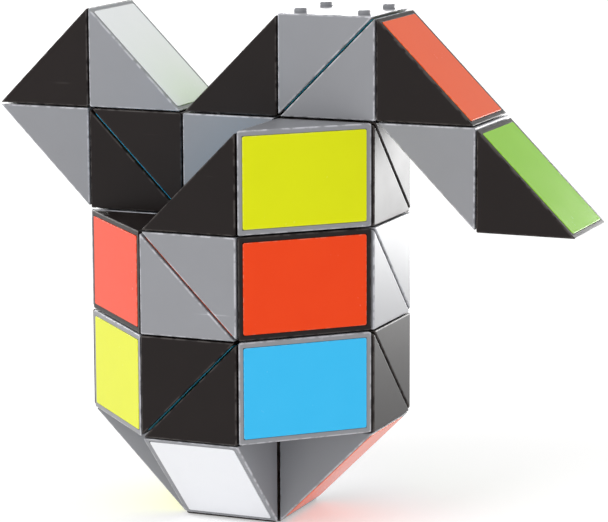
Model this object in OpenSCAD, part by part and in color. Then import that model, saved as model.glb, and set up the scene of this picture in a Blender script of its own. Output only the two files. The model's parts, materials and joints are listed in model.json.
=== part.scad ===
// Twisty snake puzzle: two chains of twenty-four hollow triangular wedges, joined end to end and
// folded into a standing figure. Every wedge is half of a cube cell, cut along a diagonal. It turns
// on the wedge before it about a round spigot, and its sloping face is closed by a coloured tile.

/* [Wedge] */
// Pitch of the cells, which is the length of a wedge's two equal sides
pitch = 20; // [18:0.5:30]
// Gap between the flat faces of two neighbouring wedges
face_gap = 0.3; // [0.25:0.05:0.6]
// Depth of the sloping rim below the cell's diagonal
slope_inset = 0.25; // [0.2:0.05:0.6]
// Wall of the moulded shell
wall = 1.6; // [1.3:0.1:2]

/* [Tile] */
// Depth of the seat that the tile drops into
seat_depth = 1; // [0.8:0.1:1.2]
// Height of the tile above the sloping rim
tile_proud = 0.1; // [0:0.05:0.15]
// Width of the shell's rim round the tile, seen on the slope
rim = 1; // [0.8:0.1:1.2]
// Clearance between the tile and its seat
tile_fit = 0.08; // [0.05:0.01:0.15]
// Diameter of the two pegs under a tile
peg_d = 1.8; // [1.4:0.1:2]
// Distance of a tile peg from the middle of the tile
peg_offset = 6; // [5.5:0.1:6.2]
// Wall of the bosses that take the pegs and the pivot screw
boss_wall = 0.9; // [0.7:0.1:1]

/* [Pivot] */
// Diameter of the spigot that one wedge turns on in the next
spigot_d = 4.9; // [4:0.1:5.2]
// Clearance round the spigot in its bore
spigot_fit = 0.05; // [0.03:0.01:0.09]
// Play along the spigot between the washer and the wall it holds
end_play = 0.1; // [0.06:0.01:0.2]
// Lap of the washer over the wall round the bore
washer_lap = 0.6; // [0.4:0.1:0.8]
// Thickness of the washer
washer_t = 0.5; // [0.4:0.1:0.6]
// Diameter of the pivot screw's head
head_d = 4.4; // [3.6:0.1:5]
// Height of the pivot screw's head
head_h = 1.3; // [1:0.1:1.5]
// Diameter of the pivot screw's shank
shank_d = 2; // [1.6:0.1:2.2]
// Length of the pivot screw's shank
shank_l = 5; // [4:0.5:5.5]

/* [Studs] */
// Spacing of the four studs, from centre to centre, along both sides of a face
stud_spacing = 13; // [11:0.5:14]
// Diameter of a joining stud
stud_d = 2.5; // [1.8:0.1:2.8]
// Height of the joining studs on the first wedge of a chain
stud_h = 0.9; // [0.8:0.1:1.1]
// Clearance past the tip of a joining stud in its socket
tip_fit = 0.05; // [0.03:0.01:0.1]
// Diameter of the click studs between two wedges of a chain
click_d = 2.2; // [1.6:0.1:2.6]
// Clearance between the tip of a click stud and the face it passes over
click_clear = 0.1; // [0.08:0.01:0.15]
// Depth of the dimples that face the click studs
dimple_depth = 0.3; // [0.2:0.05:0.4]
// Clearance round a stud in the socket or dimple that faces it
stud_fit = 0.06; // [0.04:0.01:0.1]

/* [Fold] */
// Way in which each wedge of the first chain passes the chain on: left, right, front, back, up, down
first_fold = "LDLULDRDFRDLBUBRDLFDRFUR"; // 24 letters out of L, R, F, B, U and D
// The same for the second chain, which carries on from the end of the first
second_fold = "BDLBURFUFLURBDBLURFURDRD"; // 24 letters out of L, R, F, B, U and D

/* [Colour] */
// Colour of the even wedges
dark_plastic = "#2e2a29"; // [#2e2a29:Black, #3a3f4a:Slate, #5a2d22:Brown]
// Colour of the odd wedges
light_plastic = "#9a9ca0"; // [#9a9ca0:Grey, #f2efe4:White, #d8c49a:Sand]
// Colour of the screws and washers
steel = "#b8babd"; // [#b8babd:Zinc, #c9a24b:Brass]

/* [Hidden] */
$fn = 32;
CHAIN = 24;
COUNT = 2 * CHAIN;
START_CELL = [1, 0, 4];
// The column of cells that the figure stands on is half a cell to the left of the middle of its length
MIDDLE = [0.5, 0, -0.5];
OVER = 1; // how far a cut runs past the face it opens
SEAM = 0.02; // left between two pieces of a wedge that rest on each other

BLUE = "#3db8f0";
GREEN = "#8ccb1e";
ORANGE = "#f25a14";
YELLOW = "#e6e61e";
WHITE = "#f2efe4";
RED = "#e8412a";
TILE_COLOURS = [
    BLUE, GREEN, ORANGE, YELLOW, WHITE, RED, GREEN, BLUE, WHITE, RED, ORANGE, BLUE,
    YELLOW, GREEN, RED, WHITE, BLUE, YELLOW, ORANGE, RED, YELLOW, ORANGE, WHITE, GREEN
];
// Tiles that are nodes of their own: those on the outside of the folded figure
LOOSE_TILES = [5, 10, 13, 23, 25, 27, 34, 37, 46, 48];

function two_digits(k) = str(k < 10 ? "0" : "", k);

half = pitch / 2;
leg_inset = face_gap / 2;
rim_wall = rim / sqrt(2);
seat_inset = slope_inset + seat_depth;
peg_l = pitch / sqrt(8) - seat_inset;
inner_width = pitch - face_gap - 2 * wall;
spigot_l = face_gap + wall + end_play;
click_h = face_gap - click_clear;
socket_depth = stud_h - face_gap + tip_fit;
washer_z = -half + leg_inset - spigot_l - SEAM - washer_t;
head_z = washer_z - SEAM;
pilot_fit = 0.03;
pilot_depth = shank_l - washer_t + pilot_fit;
boss_top = pilot_depth - spigot_l - wall + boss_wall;
bore_d = spigot_d + 2 * spigot_fit;
washer_d = bore_d + 2 * washer_lap;

// ---- The fold: where each wedge is and how it is turned ----

function way(letter) =
    letter == "L" ? [-1, 0, 0] :
    letter == "R" ? [1, 0, 0] :
    letter == "F" ? [0, -1, 0] :
    letter == "B" ? [0, 1, 0] :
    letter == "U" ? [0, 0, 1] : [0, 0, -1];

fold = str(first_fold, second_fold);
cells = [for (k = 0, c = START_CELL; k < COUNT; c = c + way(fold[k]), k = k + 1) c];

// The way the chain travels into wedge k and out of it again
function travel_in(k) = k == 1 ? way("D") : way(fold[k - 2]);
function travel_out(k) = way(fold[k - 1]);

// A wedge is drawn on its own axes: the chain comes up through its foot at -Z and leaves at +X
module placed(k) {
    x = travel_out(k);
    z = travel_in(k);
    y = cross(z, x);
    at = pitch * (cells[k - 1] - MIDDLE) - [0, 0, leg_inset];
    multmatrix([
        [x[0], y[0], z[0], at[0]],
        [x[1], y[1], z[1], at[1]],
        [x[2], y[2], z[2], at[2]]
    ]) children();
}

// ---- Shapes on a wedge's own axes ----

// The wedge's section between two depths below the diagonal, with both legs moved in by inset
function section(inset, from, to) =
    let (low = -half + inset, high = half - inset)
    [
        [low + from * sqrt(2), low],
        [low + to * sqrt(2), low],
        [high, high - to * sqrt(2)],
        [high, high - from * sqrt(2)]
    ];

// The whole triangle below one depth
function triangle(inset, from) =
    let (low = -half + inset, high = half - inset)
    [[low + from * sqrt(2), low], [high, low], [high, high - from * sqrt(2)]];

module prism(outline, width) {
    rotate([90, 0, 0]) linear_extrude(width, center = true) polygon(outline);
}

// Something that stands on the slope at one depth and points into the wedge, at each tile peg
module at_pegs(depth) {
    for (side = [-1, 1])
        translate([depth / sqrt(2), side * peg_offset, -depth / sqrt(2)])
            rotate([0, 135, 0]) children();
}

// Something that points out of the foot, or out of the leg, at each stud's place
module at_foot_studs() {
    for (i = [-1, 1], j = [-1, 1])
        translate([i * stud_spacing / 2, j * stud_spacing / 2, -half + leg_inset])
            rotate([180, 0, 0]) children();
}

module at_leg_studs() {
    for (i = [-1, 1], j = [-1, 1])
        translate([half - leg_inset, i * stud_spacing / 2, j * stud_spacing / 2])
            rotate([0, -90, 0]) children();
}

// ---- Pieces ----

// A stud with a small chamfer round its tip
module stud(d, height) {
    chamfer = height / 3;
    r = d / 2;
    rotate_extrude()
        polygon([[0, -wall / 4], [r, -wall / 4], [r, height - chamfer], [r - chamfer, height], [0, height]]);
}

module socket(d, depth) {
    translate([0, 0, -OVER]) cylinder(d = d + 2 * stud_fit, h = OVER + depth);
}

module hollow_prism() {
    difference() {
        prism(triangle(leg_inset, slope_inset), pitch - face_gap);
        prism(triangle(leg_inset + wall, seat_inset - OVER / 2), inner_width);
        prism(section(leg_inset + rim_wall, slope_inset - OVER, seat_inset), pitch - face_gap - 2 * rim);
    }
}

// The bosses that the tile pegs push into run down into the corner between the two legs
module peg_bosses() {
    intersection() {
        prism(triangle(leg_inset, seat_inset), pitch - face_gap);
        at_pegs(seat_inset) cylinder(d = peg_d + 2 * boss_wall, h = pitch);
    }
}

module spigot() {
    translate([0, 0, -half + leg_inset - spigot_l]) cylinder(d = spigot_d, h = spigot_l + wall);
    translate([0, 0, -half + leg_inset]) cylinder(d = shank_d + 2 * boss_wall, h = wall + boss_top);
}

module shell(k) {
    starts = (k - 1) % CHAIN == 0;
    ends = k % CHAIN == 0;
    difference() {
        union() {
            hollow_prism();
            peg_bosses();
            at_foot_studs() stud(starts ? stud_d : click_d, starts ? stud_h : click_h);
            if (!starts) spigot();
        }
        at_pegs(seat_inset - OVER) cylinder(d = peg_d + 2 * tile_fit, h = OVER + peg_l + tile_fit);
        at_leg_studs() socket(ends ? stud_d : click_d, ends ? socket_depth : dimple_depth);
        if (!ends)
            translate([half - leg_inset - wall - OVER, 0, 0])
                rotate([0, 90, 0]) cylinder(d = bore_d, h = wall + 2 * OVER);
        if (!starts)
            translate([0, 0, -half + leg_inset - spigot_l - OVER])
                cylinder(d = shank_d + 2 * pilot_fit, h = pilot_depth + OVER);
    }
}

module tile() {
    prism(
        section(leg_inset + rim_wall + tile_fit, slope_inset - tile_proud, seat_inset - SEAM),
        pitch - face_gap - 2 * (rim + tile_fit)
    );
    at_pegs(seat_inset - seat_depth / 2) cylinder(d = peg_d, h = peg_l + seat_depth / 2);
}

module washer() {
    translate([0, 0, washer_z]) difference() {
        cylinder(d = washer_d, h = washer_t);
        translate([0, 0, -OVER]) cylinder(d = shank_d + 2 * spigot_fit, h = washer_t + 2 * OVER);
    }
}

// A cross-slotted screw, driven from inside the wedge before, before its tile goes on
module screw() {
    slot_w = head_d / 8;
    difference() {
        union() {
            translate([0, 0, head_z - head_h]) cylinder(d = head_d, h = head_h);
            translate([0, 0, head_z - head_h / 2]) cylinder(d = shank_d, h = shank_l + head_h / 2);
        }
        for (turn = [0, 90])
            rotate([0, 0, turn])
                translate([-head_d / 4, -slot_w / 2, head_z - head_h - OVER])
                    cube([head_d / 2, slot_w, OVER + head_h / 2]);
    }
}

module wedge(k) {
    placed(k) {
        color(k % 2 == 0 ? dark_plastic : light_plastic) shell(k);
        if ((k - 1) % CHAIN != 0) color(steel) {
            washer();
            screw();
        }
    }
    if (len(search(k, LOOSE_TILES)) == 0) placed_tile(k);
}

module placed_tile(k) {
    placed(k) color(TILE_COLOURS[(k - 1) % CHAIN]) tile();
}

for (k = [1:COUNT])
    wedge(k);
for (k = LOOSE_TILES)
    placed_tile(k);
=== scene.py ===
# %% [markdown]
# # A twisty snake puzzle, folded into a standing figure
#
# The object is a snake of 48 hollow wedges, in two chains that plug into each other. Each wedge is half of a
# cube, cut along the diagonal, and it turns on the wedge before it. A glossy coloured tile closes every
# sloping side. The wedges are moulded in satin black and grey plastic, one after the other.
#
# Blender adds the looks here. The sizes and places come from the CAD model, which is loaded first as a frame
# and isn't changed. Every new piece stands in the place of one of its parts and moves with one of its bodies.

# %% The tools and the CAD frame
import json
import math
import random

import bmesh
import bpy
from mathutils import Matrix, Vector

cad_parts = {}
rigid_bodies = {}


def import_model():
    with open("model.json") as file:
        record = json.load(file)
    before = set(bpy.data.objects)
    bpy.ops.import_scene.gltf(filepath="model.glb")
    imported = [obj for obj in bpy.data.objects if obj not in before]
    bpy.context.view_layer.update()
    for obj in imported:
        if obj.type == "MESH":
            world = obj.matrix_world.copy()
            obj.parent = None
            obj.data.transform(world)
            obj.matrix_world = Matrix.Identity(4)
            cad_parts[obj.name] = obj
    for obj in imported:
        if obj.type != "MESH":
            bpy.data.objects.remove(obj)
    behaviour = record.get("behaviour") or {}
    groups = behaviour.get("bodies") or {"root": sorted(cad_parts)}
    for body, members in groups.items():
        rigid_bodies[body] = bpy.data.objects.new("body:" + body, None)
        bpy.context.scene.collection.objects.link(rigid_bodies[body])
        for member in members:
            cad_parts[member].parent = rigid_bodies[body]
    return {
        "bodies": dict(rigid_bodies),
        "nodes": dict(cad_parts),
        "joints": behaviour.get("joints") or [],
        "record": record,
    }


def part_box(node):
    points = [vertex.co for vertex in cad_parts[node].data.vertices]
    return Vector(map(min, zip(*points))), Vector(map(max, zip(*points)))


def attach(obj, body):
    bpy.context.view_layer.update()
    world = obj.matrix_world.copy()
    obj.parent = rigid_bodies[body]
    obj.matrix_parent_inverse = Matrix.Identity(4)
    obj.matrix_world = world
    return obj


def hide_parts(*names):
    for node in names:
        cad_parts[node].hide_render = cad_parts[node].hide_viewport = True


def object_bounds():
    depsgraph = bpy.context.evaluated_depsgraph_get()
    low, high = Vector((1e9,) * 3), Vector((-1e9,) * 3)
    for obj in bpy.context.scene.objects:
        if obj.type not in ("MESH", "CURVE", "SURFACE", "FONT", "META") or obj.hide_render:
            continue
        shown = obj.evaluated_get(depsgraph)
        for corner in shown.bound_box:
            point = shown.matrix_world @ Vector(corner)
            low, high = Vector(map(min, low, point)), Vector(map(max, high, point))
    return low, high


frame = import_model()
cad_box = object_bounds()
joints = {joint["name"]: joint for joint in frame["joints"]}
mounts = {mount["name"]: mount for mount in frame["record"]["mounts"]}
COUNT = len(frame["bodies"])
CHAIN = COUNT // 2  # the snake is two chains of this many wedges, plugged into each other
print(f"{COUNT} wedges, {len(joints)} joints, {len(frame['nodes'])} CAD nodes")

# %% [markdown]
# ## Sizes
#
# All shapes below are drawn in millimetres, because some of Blender's mesh operators lose small features
# that are drawn in metres. The pitch of the cells is read off the frame: two pivots that follow each other
# sit in the middle of two sides of one cube, so they are half a diagonal apart. The other sizes are those of
# the moulding itself.

# %% The cell and the gap, from the frame
MM = 0.001
SQRT2 = math.sqrt(2)


def pivot_point(k):
    """The point that wedge k + 1 turns about on wedge k, in millimetres."""
    return Vector(joints[f"pivot_{k:02d}_{k + 1:02d}"]["pos_m"]) / MM


pitch = (pivot_point(1) - pivot_point(2)).length * SQRT2
lowest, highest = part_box("wedge_01")
gap = pitch - (highest.y - lowest.y) / MM
half = pitch / 2
leg_inset = gap / 2
end = half - leg_inset  # from the middle of a wedge to its outer faces
print(f"pitch {pitch:.3f} mm, gap between wedges {gap:.3f} mm")

# %% Sizes of the moulding
WALL = 1.6
SLOPE_INSET = 0.25  # depth of the sloping rim below the cube's diagonal
SEAT_DEPTH = 1.0
RIM = 1.0  # rim round the tile, seen on the slope
TILE_PROUD = 0.1
TILE_FIT = 0.08
PEG_RADIUS = 0.9
PEG_OFFSET = 6.0
BOSS_WALL = 0.9
SPIGOT_RADIUS = 2.45
SPIGOT_FIT = 0.05
END_PLAY = 0.1
SHANK_RADIUS = 1.0
SHANK_LENGTH = 5.0
STUD_SPREAD = 6.5  # from the middle of a square face to a stud, along both sides
JOINING_STUD = (1.25, 0.9)  # radius and height
CLICK_STUD = (1.1, gap - 0.1)
STUD_FIT = 0.06
WASHER_THICK = 0.5
SOCKET_DEPTH = 0.65
DIMPLE_DEPTH = 0.3
SEAM = 0.02  # left between pieces that rest on each other

rim_wall = RIM / SQRT2
seat_inset = SLOPE_INSET + SEAT_DEPTH
peg_length = half / SQRT2 - seat_inset
spigot_length = gap + WALL + END_PLAY


def slope_half(inset, depth):
    """Half of a wedge's length along its slope, at one depth, with both legs moved in by inset."""
    return (half - inset) * SQRT2 - depth


print(f"sloping side {2 * slope_half(leg_inset, SLOPE_INSET):.2f} x {2 * end:.2f} mm")

# %% [markdown]
# ## Where each wedge is
#
# A wedge is drawn on its own axes. The chain comes in through its foot, travelling along its Z, and leaves
# through its other leg, along its X. Its place in the figure follows from the joints: the middle of a cell is
# half a pitch on from where the chain came in, and the next joint lies half a pitch along X from there.

# %% Walk along the chain
JOINING_WAY = Vector(joints[f"plug_{CHAIN:02d}_{CHAIN + 1:02d}"]["axis"])
FIRST_FACE = mounts["end_studs"]
LAST_FACE = mounts["end_sockets"]


def way_out(k, middle):
    """The direction in which the chain leaves wedge k, whose cell has this middle."""
    if k == CHAIN:
        return JOINING_WAY
    if k == COUNT:
        return Vector(LAST_FACE["axis"])
    axis = Vector(joints[f"pivot_{k:02d}_{k + 1:02d}"]["axis"])
    return axis if (pivot_point(k) - middle).dot(axis) > 0 else -axis


def walk():
    """Each wedge's axes and middle, as the matrix that puts its millimetres in the figure in metres."""
    way_in = -Vector(FIRST_FACE["axis"])
    at = Vector(FIRST_FACE["pos_m"]) / MM - way_in * leg_inset
    places = {}
    for k in range(1, COUNT + 1):
        middle = at + way_in * half
        way_on = way_out(k, middle)
        turn = Matrix((way_on, way_in.cross(way_on), way_in)).transposed()
        places[k] = Matrix.Scale(MM, 4) @ Matrix.Translation(middle) @ turn.to_4x4()
        at = middle + way_on * half
        way_in = way_on
    return places


places = walk()
print(f"the chain ends at {tuple(round(c, 4) for c in places[COUNT].translation)} m")

# %% [markdown]
# ## Mesh helpers
#
# The shapes are made with bmesh, Blender's mesh editing library. A few short functions do what comes back
# again and again: find a flat face by the way it looks, step a rectangular face inwards, and turn round
# features such as studs, sockets and bores out of a flat face. The last one takes the face away, draws the
# rings, fills the face again round them and then carries each ring along a profile, so that everything stays
# one closed skin.

# %% Find and step flat faces
UP = Vector((0, 0, 1))
DOWN = -UP
OUT = Vector((1, 0, 0))
MERGE = 0.001


def face_looking(bm, way):
    """The largest flat face that looks one way."""
    return max((f for f in bm.faces if f.normal.dot(way) > 0.999), key=lambda f: f.calc_area())


def stepped(bm, face, half_x, half_y, z):
    """Extrudes a level rectangular face, and takes it to a new size and height."""
    face = bmesh.ops.extrude_discrete_faces(bm, faces=[face])["faces"][0]
    for vert in face.verts:
        vert.co = (math.copysign(half_x, vert.co.x), math.copysign(half_y, vert.co.y), z)
    return face


# %% Turn round features out of a flat face
ROUND = 28  # sides of a round feature


def ring(bm, centre, radius, way):
    """The edges of a circle that faces one way."""
    turn = way.to_track_quat("Z", "Y").to_matrix().to_4x4()
    made = bmesh.ops.create_circle(
        bm, cap_ends=False, segments=ROUND, radius=radius, matrix=Matrix.Translation(centre) @ turn
    )
    return list({edge for vert in made["verts"] for edge in vert.link_edges})


def carried(bm, edges, centre, way, profile):
    """Carries a ring along a profile of heights above its face and radii. Returns its last edges."""
    for height, radius in profile:
        made = bmesh.ops.extrude_edge_only(bm, edges=edges)["geom"]
        edges = [item for item in made if isinstance(item, bmesh.types.BMEdge)]
        for vert in (item for item in made if isinstance(item, bmesh.types.BMVert)):
            across = vert.co - centre
            across -= way * across.dot(way)
            vert.co = centre + way * height + across.normalized() * radius
    return edges


def turned(bm, face, features, holes=()):
    """Turns round features out of a flat face, and returns the rings that are left open.

    A feature is its centre, radius, profile and whether it's capped. The holes are rings that are there
    already, which the new face is filled round.
    """
    way = face.normal.copy()
    outline = list(face.edges)
    bmesh.ops.delete(bm, geom=[face], context="FACES_ONLY")
    rings = [ring(bm, centre, radius, way) for centre, radius, _, _ in features]
    loops = [edge for loop in (*rings, *holes) for edge in loop]
    bmesh.ops.triangle_fill(bm, edges=outline + loops, use_beauty=True, normal=way)
    left_open = []
    for edges, (centre, _, profile, capped) in zip(rings, features):
        last = carried(bm, edges, centre, way, profile)
        if capped:
            bmesh.ops.edgeloop_fill(bm, edges=last)
        else:
            left_open.append(last)
    return left_open


# %% Finish a template and copy it into place
SHARP = math.radians(40)


def as_template(bm, name):
    """Closes a drawing and keeps it as a mesh, where the attribute place holds each point as drawn."""
    bmesh.ops.remove_doubles(bm, verts=bm.verts, dist=MERGE)
    bmesh.ops.recalc_face_normals(bm, faces=bm.faces)
    place = bm.verts.layers.float_vector.new("place")
    for vert in bm.verts:
        vert[place] = vert.co
    mesh = bpy.data.meshes.new(name)
    bm.to_mesh(mesh)
    loose = sum(not edge.is_manifold for edge in bm.edges)
    print(f"{name}: {len(mesh.polygons)} faces, volume {bm.calc_volume():.1f} mm3, {loose} open edges")
    bm.free()
    return mesh


def put(template, name, matrix, body, finish):
    """A copy of a template in its place in the figure, as a piece that moves with a body."""
    mesh = template.copy()
    mesh.name = name
    mesh.transform(matrix)
    tone = mesh.attributes.new("tone", "FLOAT", "POINT")
    tone.data.foreach_set("value", [random.random()] * len(mesh.vertices))
    mesh.shade_smooth()
    mesh.set_sharp_from_angle(angle=SHARP)
    mesh.materials.append(finish)
    piece = bpy.data.objects.new(name, mesh)
    bpy.context.scene.collection.objects.link(piece)
    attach(piece, body)
    weighted = piece.modifiers.new("Weighted normals", "WEIGHTED_NORMAL")
    weighted.keep_sharp = True
    return piece


# %% [markdown]
# ## The wedge's shell
#
# The shell is a thin-walled moulding. Drawn with its slope on top, it is a block with a level top and two
# legs that meet in a ridge below. The edges get a small round, as any mould leaves them, which is what
# catches the light along each wedge. The top is then stepped inwards: the rim, the wall and ledge of the
# tile's seat, and the hollow down to the corner between the legs.

# %% The hollow block, slope up
EDGE_ROUND = 0.3
EDGE_SEGMENTS = 4
SLOPE_TO_OWN = Matrix.Rotation(math.radians(-45), 4, "Y")
inner_width = 2 * end - 2 * WALL


def block(bm, half_x, half_y, top, ridge):
    """A prism with a level top and a ridge below."""
    bmesh.ops.create_cube(bm, size=2)
    for vert in bm.verts:
        above = vert.co.z > 0
        vert.co = (vert.co.x * (half_x if above else 0), vert.co.y * half_y, top if above else ridge)
    bmesh.ops.remove_doubles(bm, verts=bm.verts, dist=MERGE)


def hollow_block():
    """The shell without its studs and holes, turned onto the wedge's own axes."""
    bm = bmesh.new()
    block(bm, slope_half(leg_inset, SLOPE_INSET), end, -SLOPE_INSET, -slope_half(leg_inset, 0))
    bmesh.ops.bevel(
        bm, geom=bm.edges[:], offset=EDGE_ROUND, offset_type="OFFSET", segments=EDGE_SEGMENTS,
        profile=0.5, affect="EDGES", clamp_overlap=True, material=-1,
    )
    bm.normal_update()
    seat = leg_inset + rim_wall
    hollow = leg_inset + WALL
    face = face_looking(bm, UP)
    face = stepped(bm, face, slope_half(seat, SLOPE_INSET), end - RIM, -SLOPE_INSET)
    face = stepped(bm, face, slope_half(seat, seat_inset), end - RIM, -seat_inset)
    face = stepped(bm, face, slope_half(hollow, seat_inset), inner_width / 2, -seat_inset)
    stepped(bm, face, 0, inner_width / 2, -slope_half(hollow, 0))
    bmesh.ops.remove_doubles(bm, verts=bm.verts, dist=MERGE)
    bm.transform(SLOPE_TO_OWN)
    bm.normal_update()
    return bm


trial = hollow_block()
print(f"hollow block: {len(trial.faces)} faces, {trial.calc_volume():.1f} mm3 of plastic")
trial.free()

# %% [markdown]
# ## Studs, sockets and the pivot's spigot
#
# Four low studs stand on the foot of a wedge and run over four dimples in the leg of the wedge before it,
# which makes the snake click as it turns. The first wedge of a chain has taller studs instead, which push
# into four sockets in the last wedge of another chain. Every other wedge has a hollow spigot that turns in
# the bore of its neighbour.

# %% Profiles of the round features
PILOT_FIT = 0.03
pilot_depth = SHANK_LENGTH - WASHER_THICK + PILOT_FIT
boss_top = pilot_depth - spigot_length - WALL + BOSS_WALL
SPREAD = [(i * STUD_SPREAD, j * STUD_SPREAD) for i in (-1, 1) for j in (-1, 1)]


def studs(radius, height):
    """Four studs with softened tips, on the foot."""
    chamfer = height / 3
    profile = [
        (height - chamfer, radius),
        (height - 0.3 * chamfer, radius - 0.3 * chamfer),
        (height, radius - chamfer),
    ]
    return [(Vector((x, y, -end)), radius, profile, True) for x, y in SPREAD]


def sockets(radius, depth):
    """Four blind round holes in the leg."""
    return [(Vector((end, y, z)), radius, [(-depth, radius)], True) for y, z in SPREAD]


def spigot():
    """The pivot on the foot, with the hole that its screw bites into."""
    soft = 0.2
    pilot = SHANK_RADIUS + PILOT_FIT
    profile = [
        (spigot_length - soft, SPIGOT_RADIUS),
        (spigot_length, SPIGOT_RADIUS - soft),
        (spigot_length, pilot),
        (spigot_length - pilot_depth, pilot),
    ]
    return Vector((0, 0, -end)), SPIGOT_RADIUS, profile, True


def screw_boss():
    """What stands inside the foot round the end of the screw."""
    radius = SHANK_RADIUS + BOSS_WALL
    return Vector((0, 0, WALL - end)), radius, [(boss_top, radius)], True


def bore():
    """The hole through the leg's wall that the next wedge's spigot turns in."""
    radius = SPIGOT_RADIUS + SPIGOT_FIT
    return Vector((end, 0, 0)), radius, [(-WALL, radius)], False


print(f"spigot {spigot_length:.2f} mm long, pilot hole {pilot_depth:.2f} mm deep")

# %% Bosses for the tile's pegs
def lathe(bm, profile):
    """An island turned from a profile of radii and heights, with its axis upright at the origin."""
    outline = [bm.verts.new((radius, 0, z)) for radius, z in profile]
    edges = [bm.edges.new(pair) for pair in zip(outline, outline[1:])]
    bmesh.ops.spin(
        bm, geom=outline + edges, cent=(0, 0, 0), axis=UP, angle=math.tau, steps=ROUND, use_merge=True
    )


def peg_bosses():
    """Two blind tubes that stand in the hollow under the tile and sink into the corner between the legs."""
    bm = bmesh.new()
    radius = PEG_RADIUS + BOSS_WALL
    hole = PEG_RADIUS + TILE_FIT
    foot = -slope_half(leg_inset + WALL, 0) + radius / 2
    bottom = -seat_inset - peg_length - TILE_FIT
    profile = [
        (0, bottom), (hole, bottom), (hole, -seat_inset), (radius, -seat_inset), (radius, foot), (0, foot)
    ]
    for side in (-1, 1):
        before = set(bm.verts)
        lathe(bm, profile)
        bmesh.ops.translate(bm, verts=[v for v in bm.verts if v not in before], vec=(0, side * PEG_OFFSET, 0))
    bmesh.ops.remove_doubles(bm, verts=bm.verts, dist=MERGE)
    bm.transform(SLOPE_TO_OWN)
    mesh = bpy.data.meshes.new("peg_bosses")
    bm.to_mesh(mesh)
    bm.free()
    return mesh


bosses = peg_bosses()
print(f"peg bosses: {len(bosses.polygons)} faces")

# %% The three kinds of wedge
def shell_template(name, starts, ends):
    """The moulding of a wedge. The first of a chain has joining studs and the last one has their sockets."""
    bm = hollow_block()
    foot = studs(*(JOINING_STUD if starts else CLICK_STUD))
    radius = (JOINING_STUD if ends else CLICK_STUD)[0] + STUD_FIT
    leg = sockets(radius, SOCKET_DEPTH if ends else DIMPLE_DEPTH)
    inside_foot, inside_leg = face_looking(bm, UP), face_looking(bm, -OUT)
    turned(bm, face_looking(bm, DOWN), foot if starts else [*foot, spigot()])
    if not starts:
        turned(bm, inside_foot, [screw_boss()])
    through = turned(bm, face_looking(bm, OUT), leg if ends else [*leg, bore()])
    if not ends:
        turned(bm, inside_leg, [], through)
    bm.from_mesh(bosses)
    return as_template(bm, name)


shells = {
    "first": shell_template("first_wedge", True, False),
    "middle": shell_template("middle_wedge", False, False),
    "last": shell_template("last_wedge", False, True),
}

# %% [markdown]
# ## The coloured tile
#
# The tile is a plate that drops into the seat and holds with two pegs. Its corners are barely rounded, and
# its top edge has a finer round than the wedge's, because it is a separate, glossier moulding. It stands a
# tenth of a millimetre proud of the rim, and the fit round it shows as a thin dark line.

# %% The tile, slope up
TILE_CORNER = 0.4
TILE_ROUND = 0.12


def tile_template():
    """The plate with its pegs."""
    bm = bmesh.new()
    inset = leg_inset + rim_wall + TILE_FIT
    top, bottom = TILE_PROUD - SLOPE_INSET, SEAM - seat_inset
    half_x, half_y = slope_half(inset, SLOPE_INSET), end - RIM - TILE_FIT
    thick = top - bottom
    size = Matrix.Diagonal((half_x, half_y, thick / 2, 1))
    bmesh.ops.create_cube(bm, size=2, matrix=Matrix.Translation((0, 0, top - thick / 2)) @ size)
    upright = [e for e in bm.edges if abs(e.verts[0].co.z - e.verts[1].co.z) > thick / 2]
    bmesh.ops.bevel(
        bm, geom=upright, offset=TILE_CORNER, offset_type="OFFSET", segments=4,
        profile=0.5, affect="EDGES", clamp_overlap=True, material=-1,
    )
    bm.normal_update()
    bmesh.ops.bevel(
        bm, geom=list(face_looking(bm, UP).edges), offset=TILE_ROUND, offset_type="OFFSET", segments=3,
        profile=0.5, affect="EDGES", clamp_overlap=True, material=-1,
    )
    bm.normal_update()
    under = face_looking(bm, DOWN)
    taper = slope_half(inset, seat_inset) / half_x
    bmesh.ops.scale(bm, verts=list(under.verts), vec=(taper, 1, 1))
    tip = 0.25
    profile = [(peg_length - tip, PEG_RADIUS), (peg_length, PEG_RADIUS - tip)]
    pegs = [(Vector((0, side * PEG_OFFSET, bottom)), PEG_RADIUS, profile, True) for side in (-1, 1)]
    turned(bm, under, pegs)
    return as_template(bm, "tile")


tile = tile_template()

# %% [markdown]
# ## The pivot's washer and screw
#
# Inside every wedge but the last of a chain, a washer and a cross-slotted screw hold the next wedge's spigot.
# They are turned on a lathe: half of the outline is drawn and spun round the axis. Only the cross slot is
# cut by hand, from a grid of nine cells that loses its corners.

# %% The washer and the screw
WASHER_RADIUS = 3.1
HEAD_RADIUS = 2.2
HEAD_HEIGHT = 1.3
THREAD_PITCH = 0.7
THREAD_DEPTH = 0.18
HEAD_SOFT = 0.35  # chamfer of the head
WASHER_SOFT = 0.08
SLOT_REACH = 0.55  # of the cross slot from the middle, as a share of the head's radius
SLOT_HALF = 0.14  # half its width, the same way


def washer(bm, top):
    """A flat ring with broken edges, below one height."""
    hole, soft = SHANK_RADIUS + SPIGOT_FIT, WASHER_SOFT
    low = top - WASHER_THICK
    lathe(bm, [
        (hole, low), (WASHER_RADIUS - soft, low), (WASHER_RADIUS, low + soft),
        (WASHER_RADIUS, top - soft), (WASHER_RADIUS - soft, top), (hole, top), (hole, low),
    ])


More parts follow.
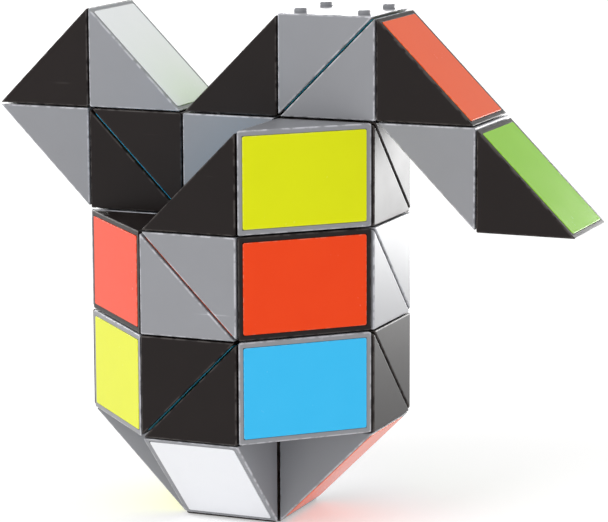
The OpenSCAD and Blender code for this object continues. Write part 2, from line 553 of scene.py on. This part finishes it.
def screw(bm, seat):
    """The head under one height, cross slot down, and the shank above it with its thread as rings."""
    bottom = seat - HEAD_HEIGHT
    root = SHANK_RADIUS - THREAD_DEPTH
    profile = [(HEAD_RADIUS - HEAD_SOFT, bottom), (HEAD_RADIUS, bottom + HEAD_SOFT), (HEAD_RADIUS, seat)]
    profile.append((SHANK_RADIUS, seat))
    height = seat + WASHER_THICK + SEAM
    while height + THREAD_PITCH < seat + SHANK_LENGTH:
        profile += [(root, height), (SHANK_RADIUS, height + THREAD_PITCH / 2)]
        height += THREAD_PITCH
    profile += [(root, height), (0, seat + SHANK_LENGTH)]
    before = set(bm.verts)
    lathe(bm, profile)
    bmesh.ops.remove_doubles(bm, verts=[v for v in bm.verts if v not in before], dist=MERGE)
    rim = [e for e in bm.edges if e.is_boundary and e.verts[0] not in before]
    cross_slot(bm, rim, bottom)


def cross_slot(bm, rim, z):
    """Closes the screw's head inside its rim, with a cross-shaped recess."""
    reach, slot, depth = HEAD_RADIUS * SLOT_REACH, HEAD_RADIUS * SLOT_HALF, HEAD_HEIGHT / 2
    before = set(bm.verts)
    bmesh.ops.create_grid(bm, x_segments=3, y_segments=3, size=1, matrix=Matrix.Translation((0, 0, z)))
    grid = [v for v in bm.verts if v not in before]
    for vert in grid:
        vert.co.x, vert.co.y = (math.copysign(reach if abs(c) > 0.5 else slot, c) for c in vert.co.xy)
    cells = {face for vert in grid for face in vert.link_faces}
    corners = [f for f in cells if all(abs(c) > slot for c in f.calc_center_median().xy)]
    bmesh.ops.delete(bm, geom=corners, context="FACES")
    cross = list({face for vert in grid if vert.is_valid for face in vert.link_faces})
    outline = [e for e in {e for f in cross for e in f.edges} if e.is_boundary]
    made = bmesh.ops.extrude_face_region(bm, geom=cross)["geom"]
    bmesh.ops.translate(bm, verts=[g for g in made if isinstance(g, bmesh.types.BMVert)], vec=(0, 0, depth))
    bmesh.ops.delete(bm, geom=[f for f in cross if f.is_valid], context="FACES_ONLY")
    inner = [e for e in bm.edges if e.is_wire]
    bmesh.ops.delete(bm, geom=inner, context="EDGES")
    outline = [e for e in outline if e.is_valid]
    bmesh.ops.triangle_fill(bm, edges=rim + outline, use_beauty=True, normal=DOWN)


def pivot_template():
    """A washer and its screw, on the axes of the wedge that the spigot belongs to."""
    bm = bmesh.new()
    wall_face = -end - spigot_length - SEAM
    washer(bm, wall_face)
    screw(bm, wall_face - WASHER_THICK - SEAM)
    return as_template(bm, "pivot")


pivot = pivot_template()

# %% [markdown]
# ## Writing a finish as sums
#
# A procedural material is a small program. Nodes are awkward to read in a script, so two small classes let it
# be written as sums and products: a field stands for the output of a node, and adding or multiplying fields
# makes the nodes that do it. Any other node comes from one method that takes its type, settings and sockets.

# %% Fields and finishes
class Field:
    """A value, colour or vector inside a finish. Arithmetic on fields adds the nodes that work it out."""

    def __init__(self, finish, socket):
        self.finish = finish
        self.socket = socket

    def maths(self, operation, *values):
        return self.finish.node("ShaderNodeMath", {"operation": operation}, dict(enumerate(values)))

    def __add__(self, other):
        return self.maths("ADD", self, other)

    def __radd__(self, other):
        return self.maths("ADD", other, self)

    def __sub__(self, other):
        return self.maths("SUBTRACT", self, other)

    def __rsub__(self, other):
        return self.maths("SUBTRACT", other, self)

    def __mul__(self, other):
        return self.maths("MULTIPLY", self, other)

    def __rmul__(self, other):
        return self.maths("MULTIPLY", other, self)

    def __abs__(self):
        return self.maths("ABSOLUTE", self)

    def between(self, low, high):
        """0 below low, 1 above high, and a smooth step between them. With low above high it falls."""
        return self.finish.node(
            "ShaderNodeMapRange", {"interpolation_type": "SMOOTHSTEP", "clamp": True},
            {"Value": self, "From Min": low, "From Max": high},
        )


class Finish:
    """A material that is built from fields."""

    def __init__(self, name):
        self.material = bpy.data.materials.new(name)
        self.material.use_nodes = True
        self.tree = self.material.node_tree
        self.shader = self.tree.nodes["Principled BSDF"]

    def node(self, kind, settings=None, sockets=None, output=0):
        """A new node's output, after its settings and then its sockets are set."""
        made = self.tree.nodes.new(kind)
        for name, value in (settings or {}).items():
            setattr(made, name, value)
        for name, value in (sockets or {}).items():
            self.feed(made.inputs[name], value)
        return Field(self, made.outputs[output])

    def feed(self, socket, value):
        """Gives a socket a field or a plain value."""
        if isinstance(value, Field):
            self.tree.links.new(value.socket, socket)
        else:
            socket.default_value = value

    def set(self, **sockets):
        """Feeds the shader's own sockets, with _ for each space in a name."""
        for name, value in sockets.items():
            self.feed(self.shader.inputs[name.replace("_", " ")], value)

    def bump(self, strength, depth, height):
        """Raises the surface by a height field, whose 1 is a depth in millimetres."""
        sockets = {"Strength": strength, "Distance": depth * MM, "Height": height}
        self.set(Normal=self.node("ShaderNodeBump", sockets=sockets))

    def mix(self, amount, first, second):
        """From the first colour at 0 to the second at 1."""
        return self.node("ShaderNodeMix", {"data_type": "RGBA"}, {0: amount, 6: first, 7: second}, 2)

    def noise(self, size, stretch=(1, 1, 1), turn=(0, 0, 0), detail=2.0, **settings):
        """Cloudy noise about 0.5, with lumps of one size in millimetres, in the figure's own space."""
        where = self.node("ShaderNodeTexCoord", output="Object")
        if stretch != (1, 1, 1):
            mapping = {"Vector": where, "Scale": stretch, "Rotation": turn}
            where = self.node("ShaderNodeMapping", sockets=mapping)
        sockets = {"Vector": where, "Scale": 1 / (size * MM), "Detail": detail, **settings}
        return self.node("ShaderNodeTexNoise", sockets=sockets)

    def attribute(self, name, output):
        """An attribute of the mesh."""
        return self.node("ShaderNodeAttribute", {"attribute_name": name}, output=output)

    def place(self):
        """Where a point is on its piece's own drawing, as three fields in millimetres."""
        vector = self.attribute("place", "Vector")
        return [self.node("ShaderNodeSeparateXYZ", sockets={0: vector}, output=axis) for axis in range(3)]


def rgb(digits):
    """A colour as Blender's shaders take it, from the six digits that a colour chart gives."""
    levels = [int(digits[i:i + 2], 16) / 255 for i in (0, 2, 4)]
    return (*(c / 12.92 if c <= 0.04045 else ((c + 0.055) / 1.055) ** 2.4 for c in levels), 1.0)


print("finishes are written as sums of fields")

# %% [markdown]
# ## Satin black and grey plastic
#
# The shells are satin: light spreads a little on them. A mould's spark-eroded surface leaves a grain finer
# than a tenth of a millimetre, the plastic flows in faint clouds, and handling rubs the edges smooth and
# leaves hairline scuffs. The edges are also painted lighter, partly as wear and partly as a painted highlight
# along each edge. These edges are found exactly: a point lies on an edge where it is close to two of the
# wedge's outer faces at once.

# %% Edges, worn and painted lighter as a highlight
EDGE_WEAR_AND_HIGHLIGHT_REACH = 0.55  # how far from an edge the shells are worn and painted lighter as a highlight
# how far from an edge the tiles are worn and painted paler as a highlight
TILE_EDGE_WEAR_AND_HIGHLIGHT_REACH = 0.3


def near_edges(distances, reach):
    """1 where two faces meet, and 0 from one reach away from the edge."""
    total = distances[0].between(reach, 0)
    for distance in distances[1:]:
        total = total + distance.between(reach, 0)
    return (total - 1).between(0, 1)


def wedge_faces(finish):
    """How far a point is from a wedge's foot, leg, ends and slope."""
    x, y, z = finish.place()
    return [z + end, end - x, end - abs(y), (x - z) * (1 / SQRT2) - SLOPE_INSET]


def scuffs(finish, turn, seed):
    """Hairline scratches that run one way."""
    lines = finish.noise(1.1, stretch=(0.06, 1.7, 1.0), turn=turn, detail=1.0)
    patches = finish.noise(9 + seed, detail=1.0)
    return lines.between(0.72, 0.78) * patches.between(0.5, 0.62)


print("an edge is where two distances are small")


# %% The shells' finish
def moulded(name, body, cloudy, wear_and_highlight_colour, rough, shine):
    """Satin plastic of one colour, with a cloudy second tone and a lighter third along the edges, as wear and
    as a painted highlight.
    """
    finish = Finish(name)
    clouds = finish.noise(7, detail=3.0)
    grain = finish.noise(0.16, detail=1.0)
    # the edges are painted lighter here: partly wear, partly a painted highlight along each edge
    edge_wear_and_painted_highlight = near_edges(wedge_faces(finish), EDGE_WEAR_AND_HIGHLIGHT_REACH) * finish.noise(1.6).between(0.3, 0.6)
    hair = scuffs(finish, (0.4, 0.9, 0.3), 0) + scuffs(finish, (1.2, 0.2, 2.1), 2)
    tone = finish.attribute("tone", "Fac")
    shade = finish.mix(clouds * 0.7 + tone * 0.5 - 0.1, body, cloudy)
    # scuffs and edges painted lighter; on the edges this is a painted highlight as well as wear
    wear_and_highlight_amount = (edge_wear_and_painted_highlight * 0.75 + hair * 0.35).between(0, 1)
    finish.set(
        Base_Color=finish.mix(wear_and_highlight_amount, shade, wear_and_highlight_colour),
        Roughness=rough + clouds * 0.1 + grain * 0.08 + hair * 0.12 - edge_wear_and_painted_highlight * 0.08,
        Specular_IOR_Level=shine,
        IOR=1.5,
    )
    height = grain * 0.4 + hair * -0.6 + clouds * 0.8
    finish.bump(0.25, 0.02, height)
    return finish.material


# the third colour is for the edges: their wear and their painted highlight
black_plastic = moulded("black_plastic", rgb("150e0d"), rgb("1d1615"), rgb("4a4543"), 0.3, 0.2)
grey_plastic = moulded("grey_plastic", rgb("838488"), rgb("8b8c91"), rgb("c6c6cc"), 0.3, 0.5)
print(f"made {black_plastic.name} and {grey_plastic.name}")

# %% [markdown]
# ## Glossy tiles
#
# The tiles come out of a polished mould, so they mirror soft lights, broken only by a slight orange peel and
# a few hairlines. Their colour is strong and almost even. The round along the top edge is painted paler,
# partly as wear and partly as a painted highlight.

# %% The tiles' finish
def tile_faces(finish):
    """How far a point is from a tile's sides and top."""
    x, y, z = finish.place()
    inset = leg_inset + rim_wall + TILE_FIT
    return [
        slope_half(inset, SLOPE_INSET) - abs(x), end - RIM - TILE_FIT - abs(y), TILE_PROUD - SLOPE_INSET - z
    ]


def glossy(name, body, cloudy, wear_and_highlight_colour):
    """Polished plastic of one colour."""
    finish = Finish(name)
    clouds = finish.noise(6, detail=2.0)
    peel = finish.noise(1.4, detail=1.0)
    hair = scuffs(finish, (0.9, 0.1, 0.7), 1)
    # the top edge's round is painted paler here: partly wear, partly a painted highlight
    edge_wear_and_painted_highlight = near_edges(tile_faces(finish), TILE_EDGE_WEAR_AND_HIGHLIGHT_REACH) * finish.noise(1.1).between(0.35, 0.65)
    tone = finish.attribute("tone", "Fac")
    shade = finish.mix(clouds * 0.6 + tone * 0.6 - 0.1, body, cloudy)
    finish.set(
        Base_Color=finish.mix((edge_wear_and_painted_highlight * 0.5 + hair * 0.25).between(0, 1), shade, wear_and_highlight_colour),
        Roughness=0.16 + clouds * 0.08 + hair * 0.15 + edge_wear_and_painted_highlight * 0.05,
        Specular_IOR_Level=0.15,
        IOR=1.5,
    )
    height = peel * 1.0 + hair * -0.5
    finish.bump(0.2, 0.03, height)
    return finish.material


# the third colour of each tile is for its top edge: wear and a painted highlight
tile_finishes = {
    "blue": glossy("blue_tile", rgb("34b8ee"), rgb("3ebef2"), rgb("86d4f4")),
    "green": glossy("green_tile", rgb("84c414"), rgb("8dcb20"), rgb("bfe07f")),
    "orange": glossy("orange_tile", rgb("ec5004"), rgb("f0580c"), rgb("f8a070")),
    "yellow": glossy("yellow_tile", rgb("d8dd00"), rgb("dfe400"), rgb("eef08a")),
    "white": glossy("white_tile", rgb("ebecf0"), rgb("f0f1f4"), rgb("f8f8fa")),
    "red": glossy("red_tile", rgb("e83c08"), rgb("ec4410"), rgb("f39a80")),
}
print(f"{len(tile_finishes)} tile colours")

# %% [markdown]
# ## Zinc-plated steel
#
# The screws and washers are plated with zinc, which is a metal with a cloudy, faintly blue sheen.

# %% The pivots' finish
def zinc():
    """Cloudy zinc plating."""
    finish = Finish("steel")
    clouds = finish.noise(1.8, detail=3.0)
    finish.set(
        Base_Color=finish.mix(clouds, rgb("aab0b8"), rgb("cfd0cc")),
        Roughness=0.25 + clouds * 0.25,
        Metallic=1.0,
    )
    finish.bump(0.2, 0.02, clouds)
    return finish.material


steel = zinc()
print(f"made {steel.name}")

# %% [markdown]
# ## Putting the snake together
#
# Now the templates are copied along the chain. Odd wedges are grey and even ones black. The tiles repeat one
# order of colours in both chains. Each piece moves with its wedge's body, and the CAD part it stands in for
# is hidden.

# %% The pieces
random.seed(48)
LETTERS = "BGOYWRGBWROBYGRWBYORYOWG"
NAMES = {"B": "blue", "G": "green", "O": "orange", "Y": "yellow", "W": "white", "R": "red"}


def kind_of(k):
    """Whether wedge k is the first, the last or in the middle of its chain."""
    return {1: "first", 0: "last"}.get(k % CHAIN, "middle")


for k, matrix in places.items():
    number, body = f"{k:02d}", f"link_{k:02d}"
    dark = k % 2 == 0
    plastic = black_plastic if dark else grey_plastic
    shell = put(shells[kind_of(k)], f"shell_{number}", matrix, body, plastic)
    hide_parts(f"wedge_{number}")
    colour = NAMES[LETTERS[(k - 1) % CHAIN]]
    plate = put(tile, f"plate_{number}", matrix @ SLOPE_TO_OWN, body, tile_finishes[colour])
    if f"tile_{number}" in frame["nodes"]:
        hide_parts(f"tile_{number}")
    if kind_of(k) != "first":
        hardware = put(pivot, f"screw_{number}", matrix, body, steel)

for template in (*shells.values(), tile, pivot, bosses):
    bpy.data.meshes.remove(template)
shown = [o for o in bpy.context.scene.objects if o.type == "MESH" and not o.hide_render]
print(f"{len(shown)} pieces, {sum(len(o.data.polygons) for o in shown)} faces")

# %% [markdown]
# ## Floor, light and camera
#
# The figure stands on a plain pale floor in soft light from all sides. Satin plastic shows mostly what it
# mirrors, so two soft cards stand behind the figure that only reflections see: one low on the right, for the
# faces that look right, and one on the left, for the faces that look up.

# %% The floor
def pale_floor():
    """A large level square just under the figure."""
    finish = Finish("floor")
    finish.set(Base_Color=rgb("dcdcdc"), Roughness=0.9, Specular_IOR_Level=0.1)
    finish.set(Emission_Color=rgb("ffffff"), Emission_Strength=0.35)
    bm = bmesh.new()
    bmesh.ops.create_grid(bm, x_segments=1, y_segments=1, size=3)
    mesh = bpy.data.meshes.new("floor")
    bm.to_mesh(mesh)
    bm.free()
    mesh.materials.append(finish.material)
    floor = bpy.data.objects.new("floor", mesh)
    floor.location.z = cad_box[0].z - 0.0001
    bpy.context.scene.collection.objects.link(floor)


pale_floor()

# %% The camera
AZIMUTH = math.radians(22.5)
ELEVATION = math.radians(10.37)
ROLL = math.radians(-0.2)
DISTANCE = 0.577
LENS = 175
SHIFT = (0.0626, 0.0231)  # of the point it looks at, in pitches to the right and up

centre = Vector((0, 0, FIRST_FACE["pos_m"][2] / 2))
back = Vector((
    math.sin(AZIMUTH) * math.cos(ELEVATION), -math.cos(AZIMUTH) * math.cos(ELEVATION), math.sin(ELEVATION)
))
right = Vector((math.cos(AZIMUTH), math.sin(AZIMUTH), 0))
above = back.cross(right)


def photographer():
    """Adds the camera, and returns the point it looks at."""
    camera = bpy.data.cameras.new("camera")
    camera.lens = LENS
    camera.sensor_width = 36
    camera.clip_start, camera.clip_end = 0.01, 20
    seat = bpy.data.objects.new("camera", camera)
    target = centre + (right * SHIFT[0] + above * SHIFT[1]) * pitch * MM
    across = right * math.cos(ROLL) + above * math.sin(ROLL)
    seat.matrix_world = Matrix.Translation(target + back * DISTANCE) @ Matrix(
        (across, back.cross(across), back)
    ).transposed().to_4x4()
    bpy.context.scene.collection.objects.link(seat)
    bpy.context.scene.camera = seat
    return target


print(f"camera looks at {tuple(round(c, 4) for c in photographer())}")

# %% The light
def area_light(name, at, towards, size, watts, reflections_only=False):
    """A soft rectangular light that looks from one point towards another."""
    lamp = bpy.data.lights.new(name, "AREA")
    lamp.shape = "RECTANGLE"
    lamp.size, lamp.size_y = size
    lamp.energy = watts
    light = bpy.data.objects.new(name, lamp)
    at, towards = Vector(at), Vector(towards)
    turn = (towards - at).to_track_quat("-Z", "Y").to_matrix().to_4x4()
    light.matrix_world = Matrix.Translation(at) @ turn
    light.visible_camera = False
    if reflections_only:
        light.visible_diffuse = False
        light.visible_transmission = False
    bpy.context.scene.collection.objects.link(light)


area_light("right_card", (0.14, 0.26, 0.062), (0.04, 0.0, 0.05), (0.30, 0.12), 1.2, True)
area_light("left_card", (-0.75, 1.0, 0.2), (0, 0, 0.08), (0.9, 0.5), 18, True)
area_light("key", (-0.5, -0.9, 0.9), (0, 0, 0.05), (0.7, 0.7), 6)

# %% The world
world = bpy.data.worlds.new("studio")
bpy.context.scene.world = world
world.use_nodes = True
soft = world.node_tree.nodes["Background"]
path = world.node_tree.nodes.new("ShaderNodeLightPath")
strength = world.node_tree.nodes.new("ShaderNodeMapRange")
strength.inputs["To Min"].default_value = 0.85  # on the figure
strength.inputs["To Max"].default_value = 1.05  # straight into the camera, for a white background
world.node_tree.links.new(path.outputs["Is Camera Ray"], strength.inputs["Value"])
world.node_tree.links.new(strength.outputs["Result"], soft.inputs["Strength"])
soft.inputs["Color"].default_value = (1, 1, 1, 1)
bpy.context.scene.view_settings.view_transform = "Standard"
print("soft light from all sides")
